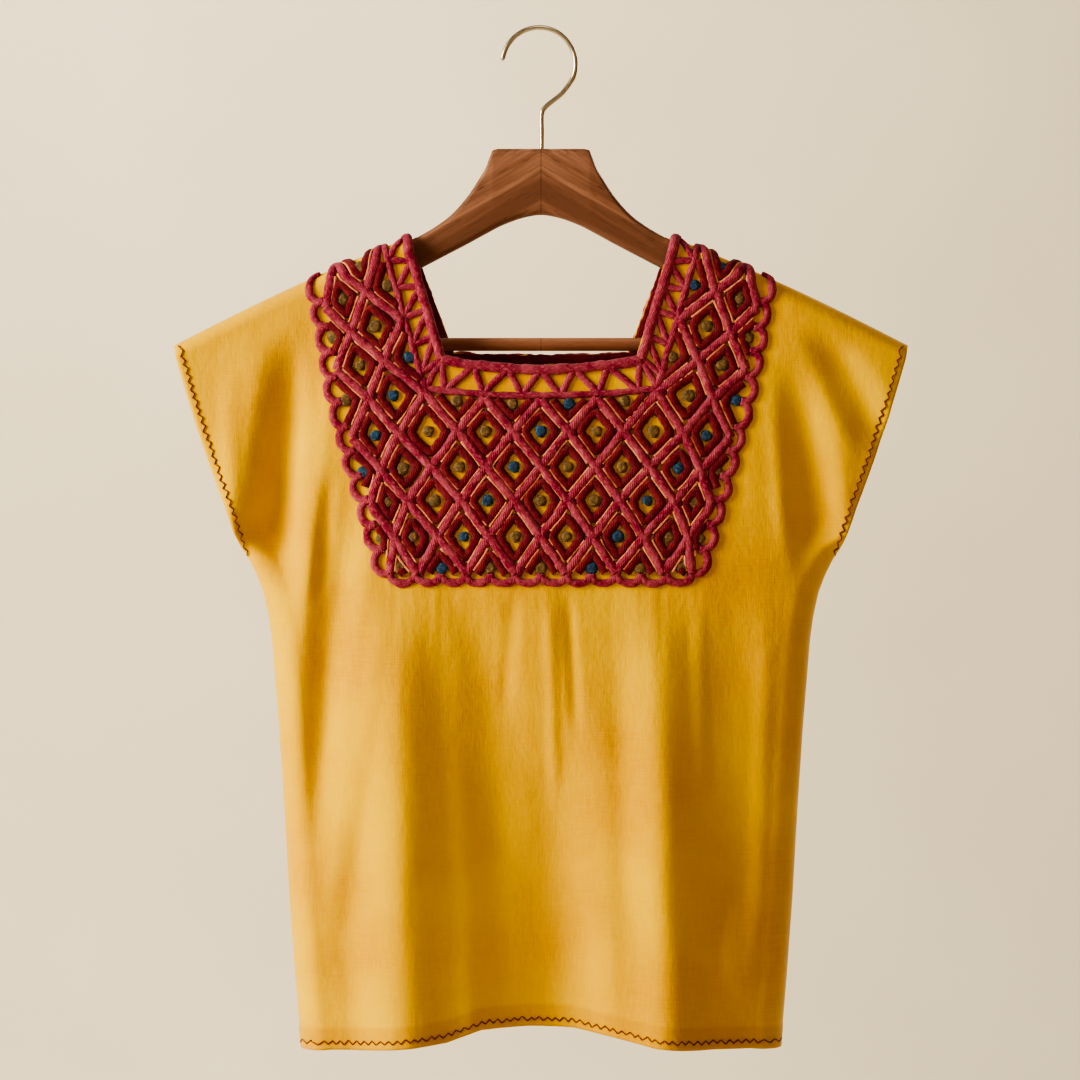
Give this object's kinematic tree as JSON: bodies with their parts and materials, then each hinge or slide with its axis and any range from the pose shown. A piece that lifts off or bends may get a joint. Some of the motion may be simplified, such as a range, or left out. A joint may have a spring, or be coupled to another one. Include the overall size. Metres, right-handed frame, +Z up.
{
  "type": "blouse on a wooden hanger",
  "caption": "Cap-sleeved blouse with a corded diamond yoke and square neck, hanging on a wooden hanger.",
  "frame": {"origin": "underside of the hook's crest, where a rail or peg carries the hanger", "axes": "+Z up along the hanging line, +X to the right as seen from the front, the front faces -Y"},
  "size_m": [0.558, 0.1477, 0.7753],
  "materials": {
    "cloth": "matt mustard cotton with a fine weave",
    "cord": "stitched cords in rose and maroon thread",
    "wood": "satin walnut",
    "steel": "brushed"
  },
  "bodies": {
    "root": {"front_panel": "cloth", "back_panel": "cloth", "yoke_lattice_front": "cord", "yoke_lattice_back": "cord", "scallop_edge_front": "cord", "scallop_edge_back": "cord", "neck_band_front": "cord", "neck_band_back": "cord", "hanger_body": "wood", "hanger_bar": "wood", "hanger_hook": "steel"}
  },
  "joints": []
}
